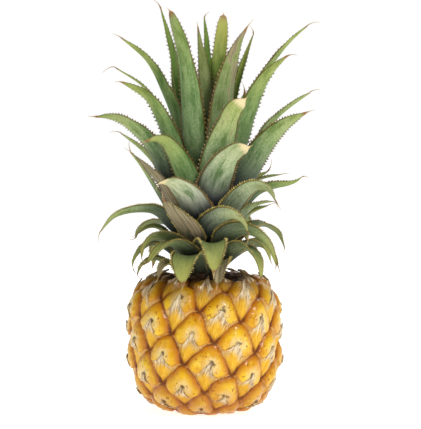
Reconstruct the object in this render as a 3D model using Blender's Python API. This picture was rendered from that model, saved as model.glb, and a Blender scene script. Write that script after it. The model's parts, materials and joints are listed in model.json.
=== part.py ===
"""A small pineapple with its leafy crown, standing on its base. Metres, +Z up, origin at the centre of the base."""
import math

import bmesh
import bpy
from mathutils import Matrix, Vector

MM = 0.001

# The fruit: a barrel that is rounder below than above
FRUIT_RADIUS = 47.2 * MM
BELLY_HEIGHT = 46.0 * MM
LOWER_REACH = 46.4 * MM
UPPER_REACH = 51.0 * MM
LOWER_ROUNDNESS = 2.5
UPPER_ROUNDNESS = 3.0
FOOT_RADIUS = 17.5 * MM
FOOT_EDGE = 1.4 * MM
NECK_RADIUS = 13.5 * MM
NECK_HEIGHT = 86.0 * MM

# Its eyes, set on a spiral of golden-angle steps
GOLDEN_ANGLE = math.radians(137.508)
EYE_RISE = 1.76 * MM
EYE_HEIGHT = 4.0 * MM
EYE_SPACING = 23.0 * MM
FIRST_EYE_AZIMUTH = math.radians(-94.5)
FIRST_EYE_HEIGHT = 51.8 * MM
FRUIT_SIDES = 60
FRUIT_ROWS = 24

# The stem that the crown grows from
STEM_BOTTOM = 86.4 * MM
STEM_TOP = 146.0 * MM
STEM_RADIUS = 11.5 * MM
STEM_TIP_RADIUS = 2.0 * MM
STEM_LEAN = 3.0 * MM
STEM_SIDES = 16
STEM_ROWS = 6

# The leaves
GAP = 0.45 * MM
LEAF_THICKNESS = 1.1 * MM
LEAF_RINGS = 12
LEAF_BASE_WIDTH = 0.45
ROLL_SHARE = 0.3
ROUTE_STEPS = 24

# Each leaf: azimuth and height of its root on the stem, width, gutter depth as a share of the half width,
# roll about its own length in degrees, bluntness of the tip, and the points that its middle passes through.
# Lengths are in millimetres and azimuths in degrees, with the front at -90.
HEART_LEAVES = [
    (20, 150, 4, 0.3, 0, 2, [(6, 1, 180), (7, 1, 218)]),
]
SPEAR_LEAVES = [
    (125, 133, 12, 0.4, 0, 2, [(-9, 11, 170), (-18, 16, 220), (-29, 20, 264)]),
    (-116, 135, 16, 0.4, 0, 3, [(-7, -13, 175), (-10, -14, 210), (-15, -14, 238), (-22, -12, 260)]),
    (-60, 143, 8, 0.3, 0, 2.5, [(2, -5, 180), (1, -5, 212), (-4, -3, 250)]),
    (150, 142, 9, 0.3, 0, 2.5, [(0, 4, 180), (2, 7, 222), (0, 12, 258)]),
    (94, 140, 12, 0.3, 0, 4, [(3, 12, 180), (9, 16, 222), (13, 23, 259)]),
    (-30, 137, 13.5, 0.4, -10, 3, [(11, -7, 175), (15, -9, 210), (21, -8, 234), (28, -6, 249)]),
    (18, 133, 11, 0.3, 20, 2, [(14, 5, 180), (22, 8, 214), (33, 8, 247)]),
    (128, 126, 12, 0.35, 0, 2.5, [(-12, 21, 168), (-19, 33, 208), (-22, 43, 236)]),
    (85, 131, 14, 0.35, 0, 3, [(4, 20, 165), (8, 34, 203), (12, 46, 232)]),
]
UPPER_LEAVES = [
    (34, 123, 14, 0.6, -35, 2.5, [(18, 15, 161), (28, 15, 198), (43, 15, 224), (56, 15, 240), (70, 14, 252)]),
    (-6, 129, 14, 0.5, -45, 3, [(15, -5, 153), (23, -7, 174), (31, -6, 198), (40, -5, 216), (54, -3, 231)]),
    (-78, 129, 18, 0.3, 0, 4, [(6, -17, 150), (9, -22, 166), (14, -26, 183), (19, -28, 196), (26, -28, 202)]),
    (-112, 122, 15, 0.4, 15, 3, [(-7, -19, 142), (-12, -21, 155), (-18, -24, 167), (-27, -25, 177), (-37, -25, 176)]),
    (-160, 126, 14, 0.55, 40, 2.5, [(-15, -5, 151), (-20, -7, 170), (-28, -8, 190), (-37, -10, 204), (-54, -8, 214)]),
    (170, 129, 14, 0.55, 40, 2.5, [(-12, 3, 162), (-19, 5, 190), (-28, 6, 212), (-38, 7, 229), (-55, 5, 243)]),
    (155, 121, 10, 0.5, 30, 2, [(-18, 10, 160), (-28, 13, 192), (-39, 14, 210), (-60, 13, 224)]),
    (56, 120, 15, 0.35, 0, 3, [(13, 24, 152), (21, 38, 184), (28, 50, 207)]),
    (116, 119, 16, 0.35, 0, 3, [(-7, 25, 150), (-12, 41, 180), (-18, 56, 200)]),
]
MIDDLE_LEAVES = [
    (-84, 120, 18, 0.3, 0, 4, [(3, -19, 134), (8, -26, 151), (14, -31, 163), (21, -34, 170), (28, -36, 172)]),
    (14, 115, 12, 0.6, -30, 2.5, [(22, 7, 143), (32, 7, 163), (42, 6, 184), (55, 5, 197), (71, 4, 208)]),
    (-32, 116, 15, 0.5, -40, 3, [(18, -12, 137), (28, -14, 156), (40, -14, 174), (52, -13, 186), (66, -11, 194)]),
    (-4, 109, 12, 0.4, -20, 2.5, [(22, 0, 128), (35, 2, 142), (48, 2, 146), (58, 2, 148), (65, 2, 153)]),
    (38, 110, 11, 0.4, -15, 2, [(20, 15, 131), (34, 19, 148), (52, 20, 153)]),
    (-156, 113, 14, 0.55, 40, 2.5, [(-22, -11, 145), (-30, -12, 167), (-42, -13, 181), (-56, -12, 190), (-71, -9, 191)]),
    (170, 115, 11, 0.5, 25, 2.5, [(-21, 7, 141), (-32, 7, 160), (-42, 5, 171), (-55, 3, 181)]),
    (162, 106, 11, 0.4, 20, 2.5, [(-24, 9, 131), (-35, 11, 149), (-42, 9, 160), (-49, 7, 169)]),
    (-142, 109, 8, 0.8, 20, 2.5, [(-19, -15, 132), (-27, -19, 148), (-36, -18, 158), (-46, -15, 168)]),
    (-97, 116, 17, 0.35, 0, 3.5, [(-5, -21, 130), (-10, -29, 140), (-17, -33, 147), (-22, -35, 150), (-28, -37, 150)]),
    (84, 114, 16, 0.35, 0, 3, [(5, 28, 136), (8, 45, 156), (8, 60, 168)]),
    (122, 109, 15, 0.35, 0, 2.5, [(-17, 29, 130), (-29, 40, 147), (-41, 50, 156)]),
    (52, 108, 14, 0.35, 0, 2.5, [(22, 25, 130), (32, 37, 146), (44, 47, 154)]),
]
LOWER_LEAVES = [
    (-42, 110, 14, 0.4, -25, 3, [(15, -19, 128), (24, -25, 141), (33, -28, 147), (41, -30, 145), (46, -32, 137)]),
    (-20, 106, 14, 0.35, 0, 2.5, [(21, -9, 122), (29, -12, 132), (37, -14, 136), (45, -15, 137)]),
    (14, 104, 12, 0.35, 0, 2.5, [(21, 6, 119), (30, 7, 128), (42, 6, 133)]),
    (-78, 108, 15, 0.4, -15, 3, [(3, -21, 119), (10, -29, 127), (18, -34, 129), (25, -37, 125), (28, -38, 118)]),
    (-116, 104, 15, 0.35, 0, 4, [(-9, -21, 116), (-14, -28, 124), (-20, -32, 131), (-26, -35, 139)]),
    (-160, 105, 12, 0.45, 25, 2.5, [(-21, -11, 120), (-31, -15, 130), (-45, -16, 131), (-58, -17, 127), (-67, -18, 117)]),
    (176, 98, 10, 0.4, 0, 2.5, [(-22, 2, 112), (-30, 0, 119), (-37, -1, 119), (-43, -1, 115)]),
    (154, 102, 13, 0.35, 0, 2.5, [(-19, 16, 117), (-31, 23, 121), (-42, 27, 116), (-46, 28, 109)]),
    (62, 101, 16, 0.35, 0, 3, [(13, 23, 117), (21, 37, 124), (27, 48, 118), (29, 53, 106)]),
    (100, 104, 16, 0.35, 0, 3, [(-8, 25, 119), (-12, 39, 126), (-16, 52, 120), (-18, 57, 107)]),
    (38, 97, 14, 0.35, 0, 3, [(25, 17, 113), (38, 25, 119), (49, 30, 113), (54, 32, 103)]),
]
BASAL_LEAVES = [
    (-150, 101, 14, 0.35, 15, 3.5, [(-21, -16, 111), (-31, -19, 114), (-38, -22, 110), (-40, -25, 101)]),
    (180, 93, 9, 0.4, 0, 2.5, [(-24, -1, 105), (-34, -4, 109), (-42, -7, 104), (-46, -8, 97), (-46, -9, 92)]),
    (-164, 90, 9, 0.4, 0, 2.5, [(-23, -8, 97), (-33, -12, 100), (-40, -14, 96), (-43, -16, 90)]),
    (-122, 95, 15, 0.4, 0, 3, [(-13, -23, 106), (-21, -30, 111), (-29, -35, 107), (-36, -39, 99)]),
    (-102, 91, 20, 0.3, 0, 4, [(-6, -25, 99), (-9, -34, 104), (-12, -42, 101), (-13, -47, 94), (-13, -49, 87)]),
    (-82, 98, 18, 0.35, 0, 3.5, [(3, -24, 108), (5, -34, 112), (6, -41, 108), (6, -45, 101), (6, -47, 94)]),
    (-72, 90, 12, 0.35, 0, 3, [(9, -25, 98), (10, -35, 101), (10, -42, 97), (9, -46, 91), (8, -48, 86)]),
    (-60, 102, 13, 0.5, -25, 2.5, [(14, -23, 114), (23, -29, 119), (33, -32, 117), (41, -33, 110), (46, -33, 97)]),
    (-46, 93, 14, 0.4, -15, 3, [(19, -23, 105), (26, -30, 109), (32, -35, 104), (35, -38, 97), (36, -39, 89)]),
    (-24, 96, 11, 0.4, 0, 2.5, [(24, -11, 108), (34, -15, 111), (40, -18, 106), (43, -20, 98)]),
    (-124, 89, 10, 0.35, 0, 3, [(-16, -23, 96), (-22, -31, 99), (-27, -37, 96), (-29, -40, 89)]),
    (10, 92, 14, 0.35, 0, 3, [(24, 4, 103), (36, 7, 107), (45, 8, 101), (49, 9, 92)]),
    (86, 93, 18, 0.35, 0, 3, [(2, 26, 104), (4, 39, 108), (5, 49, 101), (5, 52, 91)]),
    (126, 93, 16, 0.35, 0, 3, [(-17, 22, 103), (-26, 34, 106), (-32, 42, 100), (-34, 45, 90)]),
]
CROWN = {
    "heart_leaf": HEART_LEAVES,
    "spear_leaf": SPEAR_LEAVES,
    "upper_leaf": UPPER_LEAVES,
    "middle_leaf": MIDDLE_LEAVES,
    "lower_leaf": LOWER_LEAVES,
    "basal_leaf": BASAL_LEAVES,
}

# Surface colours, with roughness
FRUIT_SKIN = ((0.78, 0.42, 0.06), 0.4)
STEM_SKIN = ((0.30, 0.16, 0.08), 0.7)
LEAF_SKINS = {
    "heart_leaf": ((0.24, 0.13, 0.05), 0.7),
    "spear_leaf": ((0.13, 0.27, 0.09), 0.45),
    "upper_leaf": ((0.15, 0.28, 0.10), 0.45),
    "middle_leaf": ((0.20, 0.27, 0.14), 0.5),
    "lower_leaf": ((0.17, 0.23, 0.10), 0.5),
    "basal_leaf": ((0.28, 0.33, 0.08), 0.5),
}


def clear_scene():
    for thing in list(bpy.data.objects):
        bpy.data.objects.remove(thing, do_unlink=True)


def skin(name, colour, roughness):
    material = bpy.data.materials.new(name + "_skin")
    material.use_nodes = True
    shader = material.node_tree.nodes["Principled BSDF"]
    shader.inputs["Base Color"].default_value = (*colour, 1.0)
    shader.inputs["Roughness"].default_value = roughness
    shader.inputs["Metallic"].default_value = 0.0
    material.diffuse_color = (*colour, 1.0)
    return material


def add_piece(name, shape, finish):
    """Turns a bmesh into a smooth-shaded object with its own material."""
    bmesh.ops.recalc_face_normals(shape, faces=shape.faces)
    mesh = bpy.data.meshes.new(name)
    shape.to_mesh(mesh)
    shape.free()
    mesh.shade_smooth()
    mesh.set_sharp_from_angle(angle=math.radians(50))
    mesh.materials.append(skin(name, *finish))
    piece = bpy.data.objects.new(name, mesh)
    bpy.context.collection.objects.link(piece)
    return piece


def bridge_rings(shape, rings):
    """Joins each ring of points to the next with four-sided faces."""
    for lower, upper in zip(rings, rings[1:]):
        count = len(lower)
        for side in range(count):
            after = (side + 1) % count
            shape.faces.new((lower[side], lower[after], upper[after], upper[side]))


def fan_to(shape, ring, tip):
    for side in range(len(ring)):
        shape.faces.new((ring[side], ring[(side + 1) % len(ring)], tip))


def fruit_radius(height):
    """Radius of the barrel at a height, before its eyes are raised."""
    rise = height - BELLY_HEIGHT
    reach, roundness = (LOWER_REACH, LOWER_ROUNDNESS) if rise < 0 else (UPPER_REACH, UPPER_ROUNDNESS)
    return FRUIT_RADIUS * max(0.0, 1 - (abs(rise) / reach) ** roundness) ** (1 / roundness)


def fruit_outline():
    """Heights and radii from the flat foot over the shoulder into the neck's dip."""
    shoulder = BELLY_HEIGHT + 0.86 * UPPER_REACH
    lowest = math.asin((BELLY_HEIGHT - FOOT_EDGE) / LOWER_REACH)
    highest = math.asin((shoulder - BELLY_HEIGHT) / UPPER_REACH)
    outline = [(0.0, FOOT_RADIUS)]
    for row in range(1, FRUIT_ROWS):
        angle = -lowest + (lowest + highest) * row / (FRUIT_ROWS - 1)
        reach = LOWER_REACH if angle < 0 else UPPER_REACH
        height = BELLY_HEIGHT + reach * math.sin(angle)
        outline.append((height, fruit_radius(height)))
    outline.append((shoulder + 3 * MM, 0.5 * (outline[-1][1] + NECK_RADIUS)))
    outline.append((NECK_HEIGHT, NECK_RADIUS))
    return outline


def eye_places():
    """Azimuth, height and local spacing of every eye, up and down the spiral from the first."""
    places = []
    for way in (1, -1):
        azimuth = FIRST_EYE_AZIMUTH
        height = FIRST_EYE_HEIGHT
        while 3 * MM < height < 92 * MM:
            width = max(fruit_radius(height), 0.4 * FRUIT_RADIUS) / FRUIT_RADIUS
            places.append((azimuth, height, EYE_SPACING * width))
            slope = math.hypot(1, (fruit_radius(height + MM) - fruit_radius(height - MM)) / (2 * MM))
            azimuth += way * GOLDEN_ANGLE
            height += way * EYE_RISE * width / slope
    return places


def eye_rise(azimuth, height, places):
    """How far the nearest eye lifts the skin here."""
    radius = fruit_radius(height)
    nearest = 1.0
    for eye_azimuth, eye_height, spacing in places:
        turn = (azimuth - eye_azimuth + math.pi) % (2 * math.pi) - math.pi
        across = turn * radius
        up = (height - eye_height) * math.hypot(1, (radius - fruit_radius(eye_height)) / max(MM, abs(height - eye_height)))
        nearest = min(nearest, math.hypot(across, up) / (0.62 * spacing))
    return EYE_HEIGHT * (1 - nearest ** 2)


def make_fruit():
    shape = bmesh.new()
    places = eye_places()
    rings = []
    outline = fruit_outline()
    for row, (height, radius) in enumerate(outline):
        ring = []
        for side in range(FRUIT_SIDES):
            azimuth = 2 * math.pi * side / FRUIT_SIDES
            lifted = radius
            if 0 < row < len(outline) - 2:
                lifted += eye_rise(azimuth, height, places) - 0.4 * EYE_HEIGHT
            ring.append(shape.verts.new((lifted * math.cos(azimuth), lifted * math.sin(azimuth), height)))
        rings.append(ring)
    bridge_rings(shape, rings)
    shape.faces.new(list(reversed(rings[0])))
    shape.faces.new(rings[-1])
    return add_piece("fruit", shape, FRUIT_SKIN)


def stem_at(height):
    """Centre and radius of the crown's stem at a height."""
    share = (height - STEM_BOTTOM) / (STEM_TOP - STEM_BOTTOM)
    radius = STEM_RADIUS + (STEM_TIP_RADIUS - STEM_RADIUS) * share
    return Vector((STEM_LEAN * share, 0, height)), radius


def make_stem():
    shape = bmesh.new()
    rings = []
    for row in range(STEM_ROWS):
        centre, radius = stem_at(STEM_BOTTOM + (STEM_TOP - STEM_BOTTOM) * row / (STEM_ROWS - 1))
        turns = [2 * math.pi * side / STEM_SIDES for side in range(STEM_SIDES)]
        rings.append([shape.verts.new(centre + radius * Vector((math.cos(t), math.sin(t), 0))) for t in turns])
    bridge_rings(shape, rings)
    shape.faces.new(list(reversed(rings[0])))
    shape.faces.new(rings[-1])
    return add_piece("crown_stem", shape, STEM_SKIN)


def smooth_route(points):
    """Closely spaced points on the smooth curve through the given points."""
    padded = [2 * points[0] - points[1], *points, 2 * points[-1] - points[-2]]
    route = []
    for before, start, end, after in zip(padded, padded[1:], padded[2:], padded[3:]):
        for step in range(ROUTE_STEPS):
            t = step / ROUTE_STEPS
            pull = (end - before) * (t - 2 * t ** 2 + t ** 3) + (after - start) * (t ** 3 - t ** 2)
            route.append(start * (1 - 3 * t ** 2 + 2 * t ** 3) + end * (3 * t ** 2 - 2 * t ** 3) + 0.5 * pull)
    route.append(points[-1])
    return route


def evenly_along(route, shares):
    """Points at the given shares of the route's length."""
    lengths = [0.0]
    for start, end in zip(route, route[1:]):
        lengths.append(lengths[-1] + (end - start).length)
    found = []
    for share in shares:
        wanted = share * lengths[-1]
        step = max(1, next((i for i, length in enumerate(lengths) if length >= wanted), len(route) - 1))
        span = lengths[step] - lengths[step - 1]
        found.append(route[step - 1].lerp(route[step], (wanted - lengths[step - 1]) / span))
    return found


def leaf_width_share(share, bluntness):
    """Half-clasping root, full width by a quarter of the length, then a taper to the tip."""
    opening = min(1.0, share / 0.28)
    root = LEAF_BASE_WIDTH + (1 - LEAF_BASE_WIDTH) * opening * opening * (3 - 2 * opening)
    return root * (1 - share ** bluntness)


def make_leaf(name, finish, azimuth, height, width, gutter, roll, bluntness, middle):
    """A leaf with a gutter along its upper side: six points round each section, and one at the tip."""
    outward = Matrix.Rotation(math.radians(azimuth), 3, "Z") @ Vector((1, 0, 0))
    centre, radius = stem_at(height * MM)
    root = centre + outward * (radius + GAP + LEAF_THICKNESS)
    route = smooth_route([root] + [Vector(point) * MM for point in middle])
    shares = [row / LEAF_RINGS for row in range(LEAF_RINGS)] + [0.975, 1.0]
    points = evenly_along(route, shares)
    shape = bmesh.new()
    rings = []
    across = Vector((0, 0, 1)).cross(outward)
    for row, share in enumerate(shares[:-1]):
        along = (points[row + 1] - points[max(0, row - 1)]).normalized()
        across = (across - along * along.dot(across)).normalized()
        turned = math.radians(roll) * min(1.0, share / ROLL_SHARE)
        side = Matrix.Rotation(turned, 3, along) @ across
        upper = along.cross(side)
        share_of_width = leaf_width_share(share, bluntness)
        half = 0.5 * width * MM * share_of_width
        depth = gutter * half
        thick = LEAF_THICKNESS * (0.3 + 0.7 * share_of_width)
        corners = (
            -side * half + upper * depth,
            Vector((0, 0, 0)),
            side * half + upper * depth,
            side * 0.55 * half + upper * (0.3 * depth - 0.8 * thick),
            -upper * thick,
            -side * 0.55 * half + upper * (0.3 * depth - 0.8 * thick),
        )
        rings.append([shape.verts.new(points[row] + corner) for corner in corners])
    bridge_rings(shape, rings)
    shape.faces.new(list(reversed(rings[0])))
    fan_to(shape, rings[-1], shape.verts.new(points[-1]))
    return add_piece(name, shape, finish)


def make_crown():
    for kind, leaves in CROWN.items():
        for number, leaf in enumerate(leaves, start=1):
            name = kind if len(leaves) == 1 else f"{kind}_{number}"
            make_leaf(name, LEAF_SKINS[kind], *leaf)


def main():
    clear_scene()
    make_fruit()
    make_stem()
    make_crown()


main()
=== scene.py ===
import json
import math
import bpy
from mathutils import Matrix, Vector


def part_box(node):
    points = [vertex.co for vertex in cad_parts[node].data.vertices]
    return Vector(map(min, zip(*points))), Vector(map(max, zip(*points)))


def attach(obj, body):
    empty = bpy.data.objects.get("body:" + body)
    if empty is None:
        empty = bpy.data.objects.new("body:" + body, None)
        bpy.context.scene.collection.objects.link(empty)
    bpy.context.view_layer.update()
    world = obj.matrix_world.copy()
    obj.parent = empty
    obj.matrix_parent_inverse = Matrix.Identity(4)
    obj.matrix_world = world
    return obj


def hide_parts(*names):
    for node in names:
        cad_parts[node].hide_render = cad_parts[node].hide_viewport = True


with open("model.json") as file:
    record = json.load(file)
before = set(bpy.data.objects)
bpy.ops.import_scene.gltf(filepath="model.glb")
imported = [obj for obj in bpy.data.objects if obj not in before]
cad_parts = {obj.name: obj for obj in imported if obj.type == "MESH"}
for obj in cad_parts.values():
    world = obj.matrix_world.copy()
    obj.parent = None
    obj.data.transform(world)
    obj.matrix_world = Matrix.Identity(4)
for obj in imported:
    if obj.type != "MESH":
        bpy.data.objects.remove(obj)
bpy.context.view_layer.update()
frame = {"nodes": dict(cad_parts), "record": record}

from types import SimpleNamespace

import bmesh
import bpy
import numpy as np
from mathutils import Vector

MM = 0.001
SLOT_OF = {part["node"]: part["material_slot"] for part in frame["record"]["subparts"]}


# ---------------------------------------------------------------- node graphs


class Wire:
    """One output of a node. Arithmetic on it adds Math nodes to its graph."""

    def __init__(self, graph, made, socket):
        self.graph = graph
        self.made = made
        self.socket = socket

    def output(self, key):
        return Wire(self.graph, self.made, socket_named(self.made.outputs, key))

    def maths(self, operation, *values):
        return self.graph.maths(operation, *values)

    def __add__(self, other):
        return self.maths("ADD", self, other)

    __radd__ = __add__

    def __sub__(self, other):
        return self.maths("SUBTRACT", self, other)

    def __rsub__(self, other):
        return self.maths("SUBTRACT", other, self)

    def __mul__(self, other):
        return self.maths("MULTIPLY", self, other)

    __rmul__ = __mul__

    def __pow__(self, other):
        return self.maths("POWER", self, other)

    def __neg__(self):
        return self.maths("MULTIPLY", self, -1.0)


def socket_named(sockets, key):
    if isinstance(key, int):
        return sockets[key]
    for socket in sockets:
        if socket.identifier == key:
            return socket
    return sockets[key]


class Graph:
    """A shader or geometry tree, filled by one method."""

    def __init__(self, tree):
        self.tree = tree

    def node(self, kind, settings=None, inputs=None, output=0):
        made = self.tree.nodes.new(kind)
        for name, value in (settings or {}).items():
            setattr(made, name, value)
        for key, value in (inputs or {}).items():
            socket = socket_named(made.inputs, key)
            if isinstance(value, Wire):
                self.tree.links.new(value.socket, socket)
            else:
                socket.default_value = value
        if not made.outputs:
            return None
        return Wire(self, made, socket_named(made.outputs, output))

    def attribute(self, name, output="Fac"):
        return self.node("ShaderNodeAttribute", {"attribute_name": name}, output=output)

    def blend(self, factor, first, second):
        return self.node(
            "ShaderNodeMix",
            {"data_type": "RGBA", "clamp_factor": True},
            {"Factor_Float": factor, "A_Color": first, "B_Color": second},
            "Result_Color",
        )

    def smooth(self, value, low, high):
        """0 below low, 1 above high, with a soft passage."""
        settings = {"interpolation_type": "SMOOTHSTEP"}
        return self.node("ShaderNodeMapRange", settings, {0: value, 1: low, 2: high})

    def stretched(self, vector, scale):
        inputs = {0: vector, 1: scale}
        return self.node("ShaderNodeVectorMath", {"operation": "MULTIPLY"}, inputs)

    def noise(self, vector, scale, detail=3.0, roughness=0.55, distortion=0.0):
        inputs = {
            "Vector": vector,
            "Scale": scale,
            "Detail": detail,
            "Roughness": roughness,
            "Distortion": distortion,
        }
        return self.node("ShaderNodeTexNoise", {}, inputs)

    def maths(self, operation, *values):
        return self.node("ShaderNodeMath", {"operation": operation}, dict(enumerate(values)))

    def distance(self, across, up):
        return (across * across + up * up) ** 0.5

    def bump(self, height, strength, distance):
        inputs = {"Height": height, "Strength": strength, "Distance": distance}
        return self.node("ShaderNodeBump", {}, inputs)


def colour(red, green, blue):
    """A screen colour, 0 to 255, as the linear one that sockets take."""

    def linear(value):
        share = value / 255
        return share / 12.92 if share <= 0.04045 else ((share + 0.055) / 1.055) ** 2.4

    return (linear(red), linear(green), linear(blue), 1.0)


def new_finish(name):
    """A material with an empty graph, and a function that adds its Principled shader."""
    finish = bpy.data.materials.new(name)
    finish.use_nodes = True
    finish.node_tree.nodes.clear()
    graph = Graph(finish.node_tree)

    def shade(**inputs):
        keyed = {key.replace("_", " "): value for key, value in inputs.items()}
        shader = graph.node("ShaderNodeBsdfPrincipled", {}, keyed)
        graph.node("ShaderNodeOutputMaterial", {}, {"Surface": shader})

    return finish, graph, shade


# ---------------------------------------------------------------- mesh helpers


def mesh_piece(name, points, faces, finish, attributes=None):
    """A piece from numbered points, its point attributes and a finish, with faces turned outwards."""
    mesh = bpy.data.meshes.new(name)
    mesh.from_pydata(np.asarray(points).tolist(), [], faces)
    for label, values in (attributes or {}).items():
        values = np.asarray(values)
        if values.ndim == 2:
            layer = mesh.attributes.new(label, "FLOAT_VECTOR", "POINT")
            layer.data.foreach_set("vector", values.astype(np.float32).ravel())
        elif values.dtype == bool:
            layer = mesh.attributes.new(label, "BOOLEAN", "POINT")
            layer.data.foreach_set("value", values)
        else:
            layer = mesh.attributes.new(label, "FLOAT", "POINT")
            layer.data.foreach_set("value", values.astype(np.float32))
    work = bmesh.new()
    work.from_mesh(mesh)
    bmesh.ops.recalc_face_normals(work, faces=work.faces)
    work.to_mesh(mesh)
    work.free()
    mesh.polygons.foreach_set("use_smooth", [True] * len(mesh.polygons))
    mesh.materials.append(finish)
    piece = bpy.data.objects.new(name, mesh)
    bpy.context.scene.collection.objects.link(piece)
    return piece


def tube_faces(rows, around):
    """Quads of a grid of rows closed around, with a face over each end."""
    faces = []
    for row in range(rows - 1):
        for step in range(around):
            beside = (step + 1) % around
            low = row * around
            high = low + around
            faces.append((low + step, low + beside, high + beside, high + step))
    faces.append(tuple(range(around))[::-1])
    faces.append(tuple((rows - 1) * around + step for step in range(around)))
    return faces


def soft_step(value, low, high):
    """0 below low, 1 above high, with a soft passage, on arrays."""
    share = np.clip((value - low) / (high - low), 0.0, 1.0)
    return share * share * (3.0 - 2.0 * share)


def soft_least(values, softness):
    """The least of several arrays, rounded where two are close."""
    total = sum(np.exp(-np.clip(value / softness, -40.0, 40.0)) for value in values)
    return -softness * np.log(total)


def wander(places, seed, size):
    """Smooth made-up ripple between about -1 and 1 at each place; size is its grain in metres."""
    dice = np.random.default_rng(seed)
    total = np.zeros(len(places))
    for octave in range(5):
        way = dice.normal(size=3)
        way *= (0.7 + 0.5 * octave) * 2 * math.pi / (size * np.linalg.norm(way))
        total += np.sin(places @ way + dice.uniform(0, 2 * math.pi)) / (1.0 + 0.5 * octave)
    return total / 2.2


# ---------------------------------------------------------------- the fruit's form

# The barrel: its belly's height and half width, how far it reaches down and up, and how square it is.
BELLY = 46.0 * MM
GIRTH = 45.4 * MM
LOWER_REACH = 46.4 * MM
UPPER_REACH = 39.8 * MM
LOWER_ROUNDNESS = 2.75
UPPER_ROUNDNESS = 4.0
BEND = 1.2 * MM
NECK_TOP = 93.0 * MM

# The lattice of eyes: each eye stands one turn and one climb on from the eye before it.
LATTICE_SIZE = 47.2 * MM
EYE_TURN = math.radians(137.508)
EYE_CLIMB = 1.63 * MM / LATTICE_SIZE
EYE_TILT = math.radians(2.6)
EYE_TWIST = 0.078
FRONT = math.radians(-90.0)
FRONT_BREADTH = 0.075
FIRST_TURN = math.radians(-9.1)
FIRST_CLIMB = 7.7 * MM / LATTICE_SIZE
EYES_EACH_WAY = 76
NARROWEST = 0.4
EYE_DRIFT = 1.4 * MM
EYE_DRIFT_GRAIN = 30 * MM
EDGE_DRIFT = 0.38 * MM
EDGE_DRIFT_GRAIN = 9 * MM

# One eye, in its own millimetres: a raised shield above, a bract with a free edge below.
EYE_HALF_WIDTH = 14.1
EYE_HALF_HEIGHT = 17.8
EYE_EDGE = 11.0
EYE_FAR_ACROSS = 22.0
EYE_FAR_UP = 26.0
SHIELD_HEIGHT = 4.8
SHIELD_HALF_WIDTH = 12.2
SHIELD_SHOULDER = 6.4
SHIELD_CORNERS = 3.7
SHIELD_SPREAD = 2.3
CREST_HEIGHT = 0.8
PIT_DEPTH = 0.8
KEEL_REACH = 14.0
BRACT_FOOT = 0.7
BRACT_SLOPE = 0.38
BRACT_TOP = 5.1
BRACT_SPREAD = 1.0
LIP_HEIGHT = 0.8
MARGIN_POINT = 2.4
MARGIN_SAG = 4.4
MARGIN_SAG_AT = 6.0
GROOVE = 0.6


def barrel(elevation):
    """Point (radius, height) and outward normal of the plain barrel, seen from its belly's centre."""
    upward = elevation > 0
    power = np.where(upward, UPPER_ROUNDNESS, LOWER_ROUNDNESS)
    reach = np.where(upward, UPPER_REACH, LOWER_REACH)
    across = np.abs(np.cos(elevation)) / GIRTH
    along = np.abs(np.sin(elevation)) / reach
    far = (across**power + along**power) ** (-1 / power)
    radius = far * np.abs(np.cos(elevation))
    height = far * np.sin(elevation)
    out = (radius / GIRTH) ** (power - 1) / GIRTH
    up = np.sign(height) * (np.abs(height) / reach) ** (power - 1) / reach
    length = np.sqrt(out * out + up * up) + 1e-9
    return radius, height, out / length, up / length


def climb_table(steps=1801):
    """Elevations and the even climb of the eyes, which grows faster where the barrel is narrow."""
    elevations = np.linspace(-math.pi / 2, math.pi / 2, steps)
    radius, height, _, _ = barrel(elevations)
    run = np.hypot(np.diff(radius), np.diff(height))
    middle = (radius[1:] + radius[:-1]) / 2
    climbs = np.concatenate([[0.0], np.cumsum(run / np.maximum(middle, NARROWEST * GIRTH))])
    return elevations, climbs - np.interp(0.0, elevations, climbs)


ELEVATIONS, CLIMBS = climb_table()
TURN_PASSES = 12
WANDER_PASSES = 5


def turned_in(ways):
    """Directions in the eyes' own leaning frame."""
    lean, upright = math.sin(EYE_TILT), math.cos(EYE_TILT)
    east = upright * ways[:, 0] + lean * ways[:, 2]
    up = -lean * ways[:, 0] + upright * ways[:, 2]
    return np.column_stack([east, ways[:, 1], up])


def turned_out(ways):
    """The reverse of turned_in."""
    lean, upright = math.sin(EYE_TILT), math.cos(EYE_TILT)
    east = upright * ways[:, 0] - lean * ways[:, 2]
    up = lean * ways[:, 0] + upright * ways[:, 2]
    return np.column_stack([east, ways[:, 1], up])


def eye_wander(ways):
    """Small irregular shifts of the eyes' lattice, in its own turn and climb."""
    places = ways * GIRTH
    broad = np.column_stack([wander(places, seed, EYE_DRIFT_GRAIN) for seed in (31, 32)])
    close = np.column_stack([wander(places, seed, EDGE_DRIFT_GRAIN) for seed in (33, 34)])
    return (broad * EYE_DRIFT + close * EDGE_DRIFT) / LATTICE_SIZE


def lattice_place(ways):
    """Turn and climb in the eyes' lattice for directions from the belly's centre."""
    leaning = turned_in(ways)
    climb = np.interp(np.arcsin(np.clip(leaning[:, 2], -1, 1)), ELEVATIONS, CLIMBS)
    turn = np.arctan2(leaning[:, 1], leaning[:, 0]) - FRONT - EYE_TWIST * climb
    turn = (turn + math.pi) % (2 * math.pi) - math.pi
    shift = eye_wander(ways)
    return turn - FRONT_BREADTH * np.sin(turn) + shift[:, 0], climb + shift[:, 1]


def steady_ways(turns, climbs):
    """Directions of places in the lattice without its wander."""
    settled = turns.copy()
    for _ in range(TURN_PASSES):
        settled = turns + FRONT_BREADTH * np.sin(settled)
    around = settled + FRONT + EYE_TWIST * climbs
    elevation = np.interp(climbs, CLIMBS, ELEVATIONS)
    flat = np.cos(elevation)
    leaning = np.column_stack([flat * np.cos(around), flat * np.sin(around), np.sin(elevation)])
    return turned_out(leaning)


def lattice_ways(turns, climbs):
    """The reverse of lattice_place."""
    ways = steady_ways(turns, climbs)
    for _ in range(WANDER_PASSES):
        shift = eye_wander(ways)
        ways = steady_ways(turns - shift[:, 0], climbs - shift[:, 1])
    return ways


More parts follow.
